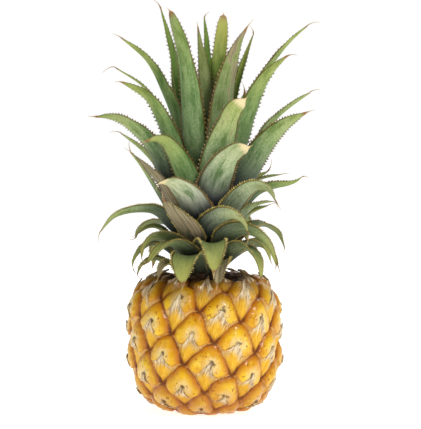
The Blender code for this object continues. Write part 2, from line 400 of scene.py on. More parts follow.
def eye_shape():
    """The matrix from lattice millimetres to an eye's own across and up, both 1 at its corners."""
    size = LATTICE_SIZE / MM

    def step(count):
        turn = (count * EYE_TURN + math.pi) % (2 * math.pi) - math.pi
        return np.array([turn, count * EYE_CLIMB]) * size

    top = (step(8) + step(13)) / 2
    right = (step(8) - step(13)) / 2
    return np.linalg.inv(np.column_stack([right, top]))


EYE_SHAPE = eye_shape()
EYE_NUMBERS = np.arange(-EYES_EACH_WAY, EYES_EACH_WAY + 1)
EYE_TURNS = FIRST_TURN + EYE_NUMBERS * EYE_TURN
EYE_CLIMBS = FIRST_CLIMB + EYE_NUMBERS * EYE_CLIMB
EYE_DICE = np.random.default_rng(11)
EYE_GROWTH = 1.0 + EYE_DICE.uniform(-0.16, 0.12, len(EYE_NUMBERS))
EYE_SWAY = EYE_DICE.uniform(-1.0, 1.0, len(EYE_NUMBERS))
EYE_SEEDS = EYE_DICE.uniform(0, 40, len(EYE_NUMBERS))
PLACES_AT_ONCE = 12000


def bract_margin(across, sway):
    """Height of the bract's free edge across an eye: corners high, two sags and a point."""
    middle = across - 0.8 * sway
    point = MARGIN_POINT * np.exp(-((middle / 1.7) ** 2))
    sag = MARGIN_SAG * np.exp(-(((np.abs(middle) - MARGIN_SAG_AT) / 3.6) ** 2))
    return point - sag - 0.3


def eye_relief(across, up, growth, sway):
    """One eye's height, bract share, distance inside its outline and depth below its bract's edge."""
    right_up = (1 - across / EYE_HALF_WIDTH - up / EYE_HALF_HEIGHT) * EYE_EDGE * (1 + 0.1 * sway)
    left_up = (1 + across / EYE_HALF_WIDTH - up / EYE_HALF_HEIGHT) * EYE_EDGE * (1 - 0.1 * sway)
    below = (1 - np.abs(across) / EYE_HALF_WIDTH + up / EYE_HALF_HEIGHT) * EYE_EDGE + BRACT_SPREAD

    sides = [right_up, left_up, SHIELD_HALF_WIDTH - np.abs(across)]
    inside = soft_least(sides, SHIELD_CORNERS) + SHIELD_SPREAD
    swell = np.clip(inside / SHIELD_SHOULDER, 0.0, 1.0)
    crest = 1 - (across / 11) ** 2 - ((up - 5.5) / 10) ** 2
    pit = np.exp(-(((across - 0.4) / 1.9) ** 2 + ((up - 3.6) / 1.4) ** 2))
    shield = SHIELD_HEIGHT * growth * np.sqrt(1.0 - (1.0 - swell) ** 2)
    shield += CREST_HEIGHT * swell**2 * crest
    shield = np.where(inside < 0, inside * 1.6, shield)
    shield -= PIT_DEPTH * pit

    keel = soft_least([below, KEEL_REACH + 0 * below], 0.5)
    bract = np.minimum(BRACT_FOOT + BRACT_SLOPE * keel * growth, BRACT_TOP)
    bract = np.where(below < -GROOVE, BRACT_FOOT + (below + GROOVE) * 1.5, bract)
    depth = bract_margin(across, sway) - up
    lip = LIP_HEIGHT * np.exp(-np.clip(depth, 0, 20) / 1.2) * np.clip(below / 2.5, 0, 1)

    cover = soft_step(depth, -0.3, 0.3)
    height = shield * (1 - cover) + (bract + lip) * cover
    outline = np.where(cover > 0.5, below - GROOVE, inside)
    return height, cover, outline, depth


def relief(turns, climbs):
    """For places in the lattice: what eye_relief says, the place within the eye, and the eye's number."""
    count = len(turns)
    found = np.empty((4, count))
    place = np.empty((count, 2))
    eye = np.empty(count, dtype=int)
    size = LATTICE_SIZE / MM
    for start in range(0, count, PLACES_AT_ONCE):
        part = slice(start, min(start + PLACES_AT_ONCE, count))
        turn = turns[part, None] - EYE_TURNS[None]
        turn = (turn + math.pi) % (2 * math.pi) - math.pi
        climb = climbs[part, None] - EYE_CLIMBS[None]
        across = (EYE_SHAPE[0, 0] * turn + EYE_SHAPE[0, 1] * climb) * size * EYE_HALF_WIDTH
        up = (EYE_SHAPE[1, 0] * turn + EYE_SHAPE[1, 1] * climb) * size * EYE_HALF_HEIGHT
        rows, columns = np.nonzero((np.abs(across) < EYE_FAR_ACROSS) & (np.abs(up) < EYE_FAR_UP))
        facts = np.full((4,) + across.shape, -99.0)
        facts[:, rows, columns] = eye_relief(
            across[rows, columns], up[rows, columns], EYE_GROWTH[columns], EYE_SWAY[columns]
        )
        best = facts[0].argmax(axis=1)
        line = np.arange(len(best))
        found[:, part] = facts[:, line, best]
        place[part] = np.column_stack([across[line, best], up[line, best]])
        eye[part] = best
    return found, place, eye


def fruit_surface(ways, extra=0.0):
    """Skin points for directions from the belly's centre, with the eyes' attributes."""
    (swell, cover, outline, depth), place, eye = relief(*lattice_place(ways))
    elevation = np.arcsin(np.clip(ways[:, 2], -1, 1))
    radius, rise, out, up = barrel(elevation)
    fade = soft_step(radius, 5 * MM, 20 * MM)
    scale = np.clip(radius / (0.8 * GIRTH), 0.45, 1.0) * fade
    rough = 0.22 * wander(ways * GIRTH, 3, 5 * MM) + 0.3 * wander(ways * GIRTH, 4, 12 * MM)
    lift = (np.maximum(swell, -0.6) * scale + (extra + rough) * fade) * MM
    around = np.arctan2(ways[:, 1], ways[:, 0])
    reach = radius + out * lift
    height = rise + up * lift
    bent = BEND * (height / UPPER_REACH) ** 2
    points = np.column_stack([reach * np.cos(around) + bent, reach * np.sin(around), BELLY + height])
    facts = {
        "bract": cover,
        "outline": np.maximum(outline, 0),
        "depth": depth,
        "lie": np.column_stack([place, EYE_SEEDS[eye]]),
    }
    return points, facts


# ---------------------------------------------------------------- the fruit's finishes

GOLD = colour(234, 188, 22)
DEEP_GOLD = colour(216, 154, 8)
LEMON = colour(248, 216, 76)
AMBER = colour(190, 118, 8)
SHIELD_CREAM = colour(230, 204, 140)
FRECKLE_BROWN = colour(140, 66, 14)
SHADOW_AMBER = colour(170, 92, 22)
BRACT_GOLD = colour(216, 154, 18)
BRACT_YELLOW = colour(240, 196, 62)
FIBRE_BROWN = colour(160, 124, 80)
FIBRE_CREAM = colour(226, 200, 150)
EDGE_BUFF = colour(230, 172, 84)
STREAK_BROWN = colour(120, 92, 62)
GROOVE_SHADOW_AMBER = colour(172, 92, 12)
GROOVE_BROWN_AND_SHADE = colour(100, 46, 10)
CORNER_BROWN = colour(134, 68, 16)
PIT_BROWN = colour(66, 46, 30)
CROWN_SHADOW_BROWN = colour(116, 62, 12)
NECK_SHADOW_BROWN = colour(44, 24, 22)
FOOT_SHADE_BROWN = colour(146, 80, 14)
PAPER_BROWN = colour(132, 102, 70)
PAPER_CREAM = colour(234, 214, 174)
PAPER_GREY = colour(150, 124, 92)
NECK_SHADOW_PAPER = colour(74, 48, 34)


def rind_places(graph):
    """What the rind's colours go by: places on the fruit and in an eye, and the noises they share."""
    lie = graph.attribute("lie", "Vector")
    across = graph.node("ShaderNodeSeparateXYZ", {}, {0: lie})
    up, seed = across.output(1), across.output(2)
    spot = graph.node("ShaderNodeTexCoord", {}, {}, "Object")
    east = graph.node("ShaderNodeSeparateXYZ", {}, {0: spot})
    broad = graph.noise(spot, 160.0, 3.0, 0.6)
    fan = graph.node("ShaderNodeCombineXYZ", {}, {0: across * 1.3, 1: up * 0.15, 2: seed})
    return SimpleNamespace(
        across=across,
        up=up,
        wide=graph.maths("ABSOLUTE", across),
        spot=spot,
        height=east.output(2),
        radius=graph.distance(east, east.output(1)),
        bract=graph.attribute("bract"),
        outline=graph.attribute("outline") + (broad - 0.5) * 1.2,
        depth=graph.attribute("depth"),
        patch=graph.noise(spot, 70.0, 3.0),
        broad=broad,
        fine=graph.noise(spot, 420.0, 4.0, 0.65),
        fan=fan,
        fibres=graph.noise(fan, 1.0, 4.0, 0.7, 0.5),
    )


def shield_colour(graph, rind):
    """A gold shield, amber towards its edge, cream round its middle, freckled."""
    skin = graph.blend(graph.smooth(rind.patch, 0.35, 0.65), GOLD, DEEP_GOLD)
    skin = graph.blend(graph.smooth(rind.broad, 0.52, 0.72) * 0.6, skin, LEMON)
    skin = graph.blend(graph.smooth(rind.outline, 5.0, 0.8) * 0.8, skin, AMBER)
    middle = graph.distance(rind.across - 0.3, (rind.up - 1.5) * 0.8) + (rind.fibres - 0.5) * 9.0
    skin = graph.blend(graph.smooth(middle, 6.6, 2.2) * 0.8, skin, SHIELD_CREAM)
    specks = graph.smooth(graph.noise(rind.spot, 520.0, 2.0), 0.59, 0.66)
    skin = graph.blend(specks * graph.smooth(rind.broad, 0.42, 0.54) * 0.8, skin, FRECKLE_BROWN)
    shadow = graph.smooth(rind.depth + (rind.broad - 0.5) * 0.8, -1.5, -0.1)
    return graph.blend(shadow * 0.6, skin, SHADOW_AMBER)


def bract_colour(graph, rind):
    """A golden bract whose fibres dry to cream paper towards its point."""
    golden = graph.blend(graph.smooth(rind.fibres, 0.3, 0.7), BRACT_GOLD, BRACT_YELLOW)
    dried = graph.blend(graph.smooth(rind.fibres, 0.4, 0.6), FIBRE_BROWN, FIBRE_CREAM)
    papery = graph.smooth(rind.depth + rind.wide * 0.55 - rind.fibres * 9.0, 4.5, -2.5)
    skin = graph.blend(papery, golden, dried)
    skin = graph.blend(graph.smooth(rind.depth, 1.5, 0.2) * 0.5, skin, EDGE_BUFF)
    streaks = graph.smooth(graph.noise(graph.stretched(rind.fan, (2.0, 1.0, 1.0)), 1.0, 3.0), 0.6, 0.68)
    return graph.blend(streaks * graph.smooth(rind.wide, 4.0, 1.0) * 0.6, skin, STREAK_BROWN)


def rind_colours(graph):
    """The colour that the rind and its papery bracts share, what it goes by, and the neck's share of painted
    shadow.
    """
    rind = rind_places(graph)
    skin = graph.blend(rind.bract, shield_colour(graph, rind), bract_colour(graph, rind))
    # Painted shade in the grooves between eyes: a soft amber band of painted shadow, then the grooves' own
    # dark brown line deepened by painted shade.
    skin = graph.blend(graph.smooth(rind.outline, 3.2, 0.5) * 0.6, skin, GROOVE_SHADOW_AMBER)
    skin = graph.blend(graph.smooth(rind.outline, 1.2, 0.3) * 0.88, skin, GROOVE_BROWN_AND_SHADE)
    corner = graph.smooth(rind.wide + rind.fine * 2.0, 12.6, 15.0) + graph.smooth(-rind.up, 14.0, 18.0)
    skin = graph.blend(graph.smooth(corner, 0.0, 1.0) * 0.45, skin, CORNER_BROWN)
    pit = graph.distance((rind.across - 0.4) * 0.8, rind.up - 3.4) + (rind.fine - 0.5) * 7.0
    skin = graph.blend(graph.smooth(pit, 1.7, 0.7) * 0.8, skin, PIT_BROWN)
    # Painted shadow of the crown's leaves on the fruit's shoulder, darker towards the top.
    shoulder_shadow = graph.smooth(rind.height + (rind.broad - 0.5) * 0.006, 0.068, 0.088)
    skin = graph.blend(shoulder_shadow * 0.62, skin, CROWN_SHADOW_BROWN)
    # Painted shadow round the neck, under the crown.
    neck = graph.smooth(rind.height, 0.079, 0.087)
    neck = neck * graph.smooth(rind.radius + (rind.broad - 0.5) * 0.01, 0.037, 0.023)
    skin = graph.blend(neck * 0.93, skin, NECK_SHADOW_BROWN)
    # Painted shade: the rind darker towards its foot.
    foot = graph.smooth(rind.height, 0.03, 0.0)
    skin = graph.blend(foot * 0.55, skin, FOOT_SHADE_BROWN)
    return skin, rind, neck


def rind_finish():
    """Waxy gold shields between duller bracts."""
    finish, graph, shade = new_finish("golden_rind")
    skin, rind, neck = rind_colours(graph)
    relief_height = rind.fine * 0.6 + rind.fibres * (0.25 + rind.bract * 0.75)
    shade(
        Base_Color=skin,
        Roughness=0.36 + rind.bract * 0.25 + neck * 0.3,
        Specular_IOR_Level=0.2,
        Coat_Weight=(1 - rind.bract * 0.8) * (1 - neck) * 0.3,
        Coat_Roughness=0.1,
        Subsurface_Weight=0.06,
        Subsurface_Radius=(0.006, 0.003, 0.001),
        Normal=graph.bump(relief_height, 0.6, 0.0007),
    )
    return finish


def papery_finish():
    """The rind's colours at a dried point's root, cream and grey paper at its free end."""
    finish, graph, shade = new_finish("papery_bract")
    skin, rind, neck = rind_colours(graph)
    paper = graph.attribute("paper")
    dried = graph.blend(graph.smooth(rind.fibres, 0.35, 0.62), PAPER_BROWN, PAPER_CREAM)
    skin = graph.blend(graph.smooth(paper + (rind.fibres - 0.5) * 0.8, 0.25, 0.6), skin, dried)
    skin = graph.blend(graph.smooth(paper, 1.1, 1.6) * 0.5, skin, PAPER_GREY)
    # Painted shadow round the neck, under the crown, on the papery points too.
    skin = graph.blend(neck * 0.6, skin, NECK_SHADOW_PAPER)
    shade(
        Base_Color=skin,
        Roughness=0.72,
        Specular_IOR_Level=0.2,
        Normal=graph.bump(rind.fibres + rind.fine * 0.3, 0.6, 0.0005),
    )
    return finish


# ---------------------------------------------------------------- the fruit's pieces


def make_fruit(finish):
    """The whole rind as one closed skin, flat at its foot and at its neck."""
    rows, around = 224, 420
    elevations = np.linspace(-math.pi / 2, math.pi / 2, rows + 2)[1:-1]
    turns = np.arange(around) * 2 * math.pi / around
    elevation, turn = [grid.ravel() for grid in np.meshgrid(elevations, turns, indexing="ij")]
    flat = np.cos(elevation)
    ways = np.column_stack([flat * np.cos(turn), flat * np.sin(turn), np.sin(elevation)])
    points, facts = fruit_surface(ways)
    points[:, 2] = np.clip(points[:, 2], 0.0, NECK_TOP)
    piece = mesh_piece("fruit_rind", points, tube_faces(rows, around), finish, facts)
    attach(piece, "root")
    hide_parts("fruit")


# The dried points: their grid, and the rises (sines of elevation) between which an eye has one.
PATCH_COLUMNS = 11
PATCH_ROWS = 8
PATCH_LOWEST = -0.93
PATCH_HIGHEST = 0.82
LATTICE_FROM_EYE = np.linalg.inv(EYE_SHAPE)


def bract_patch(number, rise):
    """Outer points, inner points and attributes of one bract's dried point, longer where its rise is high."""
    dice = np.random.default_rng(100 + number)
    grids = np.meshgrid(np.linspace(-1, 1, PATCH_COLUMNS), np.linspace(0, 1, PATCH_ROWS))
    share, level = [grid.ravel() for grid in grids]
    high = float(soft_step(rise, 0.42, 0.75))
    spike = dice.uniform(1.0, 3.2) + high * dice.uniform(3.0, 7.0)
    breadth = dice.uniform(4.5, 7.0)
    across = share * breadth * (0.25 + 0.75 * level**0.7) + dice.uniform(-0.4, 0.4)
    ragged = np.tile(dice.normal(0, 0.35, PATCH_COLUMNS), PATCH_ROWS)
    top = bract_margin(across, EYE_SWAY[number]) + 0.5
    top += spike * np.exp(-((across / (0.9 + 0.4 * high)) ** 2)) + ragged
    base = -9.5 + dice.uniform(-2, 1.5) + np.abs(across) * 0.5
    up = base + (top - base) * level**0.85

    size = LATTICE_SIZE / MM
    place = np.array([across / EYE_HALF_WIDTH, up / EYE_HALF_HEIGHT])
    turn, climb = LATTICE_FROM_EYE @ place / size
    ways = lattice_ways(EYE_TURNS[number] + turn, EYE_CLIMBS[number] + climb)

    lifted = level**4 * (0.35 + dice.uniform(0, 0.7) + 0.25 * spike * np.exp(-((across / 1.2) ** 2)))
    crease = level * 0.18 * np.sin(across * dice.uniform(1.8, 2.6) + dice.uniform(0, 6))
    tucked = (1 - np.abs(share) ** 5) * np.clip(level * 4, 0, 1)
    outer, facts = fruit_surface(ways, tucked * (0.3 + lifted + crease) - 0.08)
    inner, _ = fruit_surface(ways, tucked * (lifted * 0.8 + crease) - 0.3)
    past = np.clip((up - top + spike) / 4.0, 0, 1) * np.exp(-((across / 2.0) ** 2))
    facts["paper"] = level * 0.9 * np.exp(-((share * 0.8) ** 2)) + past * 0.7
    facts["lie"] = np.column_stack([across, up, np.full(len(across), EYE_SEEDS[number])])
    return outer, inner, facts


def patch_faces(first):
    """Faces of one closed patch, whose outer points start at number first, with the inner ones next."""
    count = PATCH_ROWS * PATCH_COLUMNS
    last_row, last_column = PATCH_ROWS - 1, PATCH_COLUMNS - 1

    def at(place, side):
        row, column = place
        return first + side * count + row * PATCH_COLUMNS + column

    faces = []
    for row in range(last_row):
        for column in range(last_column):
            corners = [(row, column), (row, column + 1), (row + 1, column + 1), (row + 1, column)]
            faces.append([at(corner, 0) for corner in corners])
            faces.append([at(corner, 1) for corner in corners[::-1]])
    rim = [(0, column) for column in range(PATCH_COLUMNS)]
    rim += [(row, last_column) for row in range(1, PATCH_ROWS)]
    rim += [(last_row, column) for column in range(last_column - 1, -1, -1)]
    rim += [(row, 0) for row in range(last_row - 1, 0, -1)]
    for here, there in zip(rim, rim[1:] + rim[:1]):
        faces.append([at(there, 0), at(here, 0), at(here, 1), at(there, 1)])
    return faces


def make_papery_bracts(finish):
    """The dried, split points of the bracts, lying over their shields; none reaches the base."""
    points, faces, gathered = [], [], []
    for number in range(len(EYE_NUMBERS)):
        centre = lattice_ways(EYE_TURNS[number : number + 1], EYE_CLIMBS[number : number + 1])[0]
        if not PATCH_LOWEST < centre[2] < PATCH_HIGHEST:
            continue
        outer, inner, facts = bract_patch(number, centre[2])
        if outer[:, 2].min() < MM:
            continue
        faces += patch_faces(sum(len(block) for block in points))
        points += [outer, inner]
        gathered += [facts, facts]
    merged = {label: np.concatenate([facts[label] for facts in gathered]) for label in gathered[0]}
    piece = mesh_piece("papery_bracts", np.concatenate(points), faces, finish, merged)
    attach(piece, "root")


# ---------------------------------------------------------------- the crown's leaves

LEAF_SHARES = np.array([step / 12 for step in range(12)] + [0.975])
LEAF_ROWS = 54
LEAF_COLUMNS = 12
TAIL_ROWS = 9
BLUNT_START = 0.72
MARGIN_RIPPLE = 0.5 * MM
MARGIN_GRAIN = 26 * MM
THORN_LENGTH = 1.6 * MM
THORN_WIDTH = 0.72 * MM
ACROSS = np.linspace(-1, 1, LEAF_COLUMNS + 1)
RING_ACROSS = np.concatenate([ACROSS, ACROSS[-2:0:-1]])
RING_UNDER = np.concatenate([np.zeros(LEAF_COLUMNS + 1), np.ones(LEAF_COLUMNS - 1)])

# Shares of bloom, yellow, dry, dark (painted shade at the root), olive and cream, and how blunt the tip is.
# Breadth and thorn are factors; tail and pitch are in millimetres.
KIND_LOOKS = {
    "spear": dict(breadth=1.12, bloom=0.22, yellow=0.28, dry=0.15, dark=0.35, pitch=2.7, thorn=0.95),
    "upper": dict(breadth=1.2, bloom=0.4, yellow=0.5, dry=0.15, dark=0.32, pitch=2.6, thorn=0.95),
    "middle": dict(breadth=1.22, bloom=0.72, yellow=0.35, dark=1.15, pitch=1.9, thorn=0.9),
    "lower": dict(breadth=1.22, bloom=0.72, yellow=0.35, dark=1.0, olive=0.55, pitch=1.6, thorn=1.0),
    "basal": dict(breadth=1.3, bloom=0.7, yellow=0.6, dry=0.15, dark=0.75, olive=0.7, pitch=1.5, thorn=1.1),
    "heart": dict(bloom=0.0, yellow=0.2, dry=1.0, dark=0.0, pitch=2.5, thorn=0.5),
}
OWN_LOOKS = {
    "spear_leaf_2": dict(bloom=0.5, dry=0.3, blunt=0.7, tail=2.0),
    "spear_leaf_3": dict(bloom=0.35, dry=0.45, breadth=1.8, olive=0.7, tail=2.0),
    "spear_leaf_4": dict(bloom=0.0, yellow=0.2, dark=0.0, breadth=2.0, tail=2.0),
    "spear_leaf_5": dict(bloom=0.0, yellow=0.9, dark=0.0, blunt=1.0, tail=0.0, breadth=1.15, cream=0.2),
    "spear_leaf_6": dict(bloom=0.4, dry=0.5, breadth=2.0, olive=0.5),
    "spear_leaf_7": dict(bloom=0.3, yellow=0.7, breadth=1.5, tail=3.0),
    "upper_leaf_1": dict(breadth=1.45),
    "upper_leaf_2": dict(breadth=1.5),
    "upper_leaf_3": dict(bloom=0.8, dry=0.2, blunt=1.0, cream=1.0, tail=3.0),
    "middle_leaf_1": dict(breadth=1.3, bloom=1.1, yellow=0.25, dry=0.0, blunt=1.0, cream=1.0, tail=3.0),
    "middle_leaf_3": dict(breadth=1.4),
    "middle_leaf_4": dict(breadth=1.9, bloom=0.3),
    "middle_leaf_5": dict(breadth=1.7, cream=0.6),
    "middle_leaf_9": dict(dry=0.9),
    "middle_leaf_10": dict(breadth=1.35, bloom=1.25, yellow=0.3, cream=1.3),
    "lower_leaf_1": dict(bloom=1.05, yellow=0.3),
    "lower_leaf_2": dict(breadth=1.5, bloom=1.0, yellow=0.3),
    "lower_leaf_3": dict(breadth=1.5, bloom=0.95),
    "lower_leaf_4": dict(bloom=1.05, yellow=0.6),
    "lower_leaf_5": dict(dry=0.9),
    "basal_leaf_1": dict(breadth=1.6, yellow=0.85),
    "basal_leaf_5": dict(breadth=1.1, yellow=0.8),
    "basal_leaf_6": dict(breadth=1.08, yellow=0.7),
    "basal_leaf_7": dict(dry=0.8, olive=0.9),
    "basal_leaf_11": dict(dry=0.8, olive=0.9),
}


def kind_of(node):
    return node.split("_")[0]


def looks_of(node):
    """A leaf's looks: the usual ones, then its kind's, then its own."""
    looks = dict(blunt=0.2, tail=6.0, breadth=1.0, dry=0.2, olive=0.15, cream=0.0)
    looks.update(KIND_LOOKS[kind_of(node)])
    looks.update(OWN_LOOKS.get(node, {}))
    return looks


def leaf_rings(node):
    """The rings of six points of a CAD leaf, from its root to its tip, and the tip's point."""
    source = frame["nodes"][node]
    work = bmesh.new()
    work.from_mesh(source.data)
    bmesh.ops.remove_doubles(work, verts=work.verts, dist=0.02 * MM)
    work.verts.ensure_lookup_table()
    places = np.array([vertex.co[:] for vertex in work.verts])
    beside = [[edge.other_vert(vertex).index for edge in vertex.link_edges] for vertex in work.verts]
    corners = [{vertex.index for vertex in face.verts} for face in work.faces]
    work.free()

    def layers_from(start):
        seen = {start}
        layers = [[start]]
        while True:
            fringe = sorted({other for point in layers[-1] for other in beside[point]} - seen)
            if not fringe:
                return layers
            seen.update(fringe)
            layers.append(fringe)

    for start in range(len(places)):
        if len(beside[start]) != 6:
            continue
        layers = layers_from(start)
        if len(layers) == 14 and all(len(layer) == 6 for layer in layers[1:]):
            break
    else:
        raise ValueError("no tip found on " + node)
    rings = []
    for layer in layers[:0:-1]:
        members = set(layer)
        walls = [face for face in corners if face & members and face - members]
        ring = [layer[0]]
        while len(ring) < 6:
            here = ring[-1]
            near = [other for other in members - set(ring) if any({here, other} <= face for face in walls)]
            ring.append(near[0])
        rings.append(places[ring])
    return rings, places[layers[0][0]]


def leaf_rails(node):
    """Left margin, upper middle, right margin and lower middle of a leaf at LEAF_SHARES."""
    rings, tip = leaf_rings(node)
    ordered = [rings[0]]
    for ring in rings[1:]:
        before = ordered[-1] - ordered[-1].mean(axis=0)
        centred = ring - ring.mean(axis=0)
        choices = []
        for way in (1, -1):
            for start in range(6):
                order = [(start + way * step) % 6 for step in range(6)]
                choices.append((np.linalg.norm(centred[order] - before, axis=1).sum(), order))
        ordered.append(ring[min(choices)[1]])
    stack = np.array(ordered)
    middle = stack[len(stack) // 2]
    spans = {
        (first, (first + 2) % 6): np.linalg.norm(middle[first] - middle[(first + 2) % 6])
        for first in range(6)
    }
    left, right = max(spans, key=spans.get)
    upper = (left + 1) % 6
    lower = (left + 4) % 6
    return stack[:, left], stack[:, upper], stack[:, right], stack[:, lower], tip


def along_rail(rail, shares):
    """A smooth curve through a rail's points, read at new shares."""
    slopes = np.gradient(rail, LEAF_SHARES, axis=0)
    index = np.clip(np.searchsorted(LEAF_SHARES, shares, side="right") - 1, 0, len(LEAF_SHARES) - 2)
    start = LEAF_SHARES[index]
    span = LEAF_SHARES[index + 1] - start
    part = ((shares - start) / span)[:, None]
    span = span[:, None]
    from_start = (1 + 2 * part) * (1 - part) ** 2
    from_end = part**2 * (3 - 2 * part)
    leave = part * (1 - part) ** 2 * span
    arrive = part**2 * (part - 1) * span
    return (
        from_start * rail[index]
        + from_end * rail[index + 1]
        + leave * slopes[index]
        + arrive * slopes[index + 1]
    )


def unit(vectors):
    return vectors / (np.linalg.norm(vectors, axis=-1, keepdims=True) + 1e-12)


def blade_rails(node, looks, seed, shares):
    """A leaf's rails at the given shares, broadened, blunted and rippled, with its half widths and frame."""
    left, upper, right, lower, tip = leaf_rails(node)
    left = along_rail(left, shares)
    upper = along_rail(upper, shares)
    right = along_rail(right, shares)
    lower = along_rail(lower, shares)

    centre = (left + right) / 2
    given = np.linalg.norm(right - left, axis=1) / 2
    beyond = np.clip((shares - BLUNT_START) / (1.0 - BLUNT_START), 0, 1)
    rounded = np.interp(BLUNT_START, shares, given) * np.sqrt(np.clip(1 - beyond**3, 0, 1))
    broad = given * (1 + (looks["breadth"] - 1) * soft_step(shares, 0.05, 0.4))
    half = broad + looks["blunt"] * np.maximum(rounded - broad, 0) * (shares > BLUNT_START)
    stretch = (half / np.maximum(given, 1e-6))[:, None]
    middle = centre + (upper - centre) * np.minimum(stretch, 1.4)
    left = centre + (left - centre) * stretch
    right = centre + (right - centre) * stretch
    lower = middle + (lower - upper)

    side = unit(right - left)
    back = unit(lower - middle)
    free = soft_step(shares, 0.12, 0.35)[:, None]
    left = left + back * free * (wander(left, seed, MARGIN_GRAIN) * MARGIN_RIPPLE)[:, None]
    right = right + back * free * (wander(right, seed + 1, MARGIN_GRAIN) * MARGIN_RIPPLE)[:, None]
    run = unit(np.gradient(middle, axis=0))
    return SimpleNamespace(
        left=left, upper=middle, right=right, lower=lower, tip=tip, half=half, side=side, back=back, run=run
    )


def blade_sections(blade):
    """Closed trough sections between a blade's rails: over it from left to right, and back under it."""
    rib = np.abs(ACROSS) ** 1.9
    body = 1 - np.abs(ACROSS) ** 2.6
    over = (
        blade.upper[:, None]
        + (blade.right - blade.left)[:, None] / 2 * ACROSS[None, :, None]
        + ((blade.left + blade.right) / 2 - blade.upper)[:, None] * rib[None, :, None]
    )
    under = over + (blade.lower - blade.upper)[:, None] * body[None, :, None]
    return np.concatenate([over, under[:, -2:0:-1]], axis=1)


def dried_tail(blade, length, curl):
    """Rings of the thin dried tail that curls on from a blade's tip."""
    phase = np.arccos(np.clip(RING_ACROSS, -1, 1))
    phase = np.where(RING_UNDER > 0, 2 * math.pi - phase, phase)
    angle = curl * 1.6 / TAIL_ROWS
    side, back, heading = blade.side[-1], blade.back[-1], blade.run[-1]
    spot = (blade.left[-1] + blade.right[-1]) / 2
    reach = np.linalg.norm(blade.tip - spot)
    rings = []
    for step in range(1, TAIL_ROWS + 1):
        share = step / TAIL_ROWS
        heading = unit(heading * math.cos(angle) + back * math.sin(angle))
        spot = spot + heading * (reach + length) / TAIL_ROWS
        thin = (0.11 + 0.2 * (1 - share)) * MM
        wide = blade.half[-1] * (1 - share) ** 3 + thin
        depth = unit(np.cross(side, heading))
        if np.dot(depth, back) > 0:
            depth = -depth
        across = side * (RING_ACROSS * wide)[:, None]
        rings.append(spot + across + depth * (np.sin(phase) * thin)[:, None])
    return np.array(rings)


def leaf_form(node, looks, seed):
    """Points, faces and attributes of one leaf with its dried tail."""
    dice = np.random.default_rng(seed)
    shares = (1 - (1 - np.linspace(0, 1, LEAF_ROWS)) ** 1.25) * LEAF_SHARES[-1]
    blade = blade_rails(node, looks, seed, shares)
    tail_length = looks["tail"] * MM * dice.uniform(0.6, 1.3)
    curl = dice.uniform(-1.4, 1.8)
    grid = np.concatenate([blade_sections(blade), dried_tail(blade, tail_length, curl)])
    rows, around = grid.shape[:2]

    steps = np.linalg.norm(np.diff(blade.upper, axis=0), axis=1)
    lengths = np.concatenate([[0], np.cumsum(steps)])
    lengths = np.concatenate([lengths, lengths[-1] + np.linspace(0.1, 1, TAIL_ROWS) * tail_length])
    shares = np.concatenate([shares * 0.99, np.linspace(1.0, 1.12, TAIL_ROWS)])
    halves = np.concatenate([blade.half, np.full(TAIL_ROWS, 0.4 * MM)])
    share = np.repeat(shares, around)
    across = np.tile(RING_ACROSS, rows)
    outward = np.zeros((rows, around, 3))
    sideways = blade.side[:, None] * np.sign(RING_ACROSS)[None, :, None]
    outward[:LEAF_ROWS] = sideways + blade.run[:, None] * 0.55
    size = np.interp(halves / MM, [0.5, 2.5, 6.0], [0.35, 0.8, 1.0])
    size = size * np.interp(shares, [0.05, 0.2, 0.8, 0.95], [0.6, 1.0, 0.95, 0.6])
    lie = [across * np.repeat(halves, around) / MM, np.repeat(lengths, around) / MM]
    facts = {
        "share": share,
        "across": across,
        "under": np.tile(RING_UNDER, rows),
        "lie": np.column_stack(lie + [np.full(rows * around, seed * 7.3)]),
        "margin": (np.abs(across) > 0.999) & (share > 0.06) & (share < 0.93),
        "outward": unit(outward.reshape(-1, 3)),
        "thorn_size": np.repeat(size, around),
    }
    for label in ("bloom", "yellow", "dry", "dark", "olive", "cream"):
        facts[label] = np.full(rows * around, float(looks[label]))
    return grid.reshape(-1, 3), tube_faces(rows, around), facts


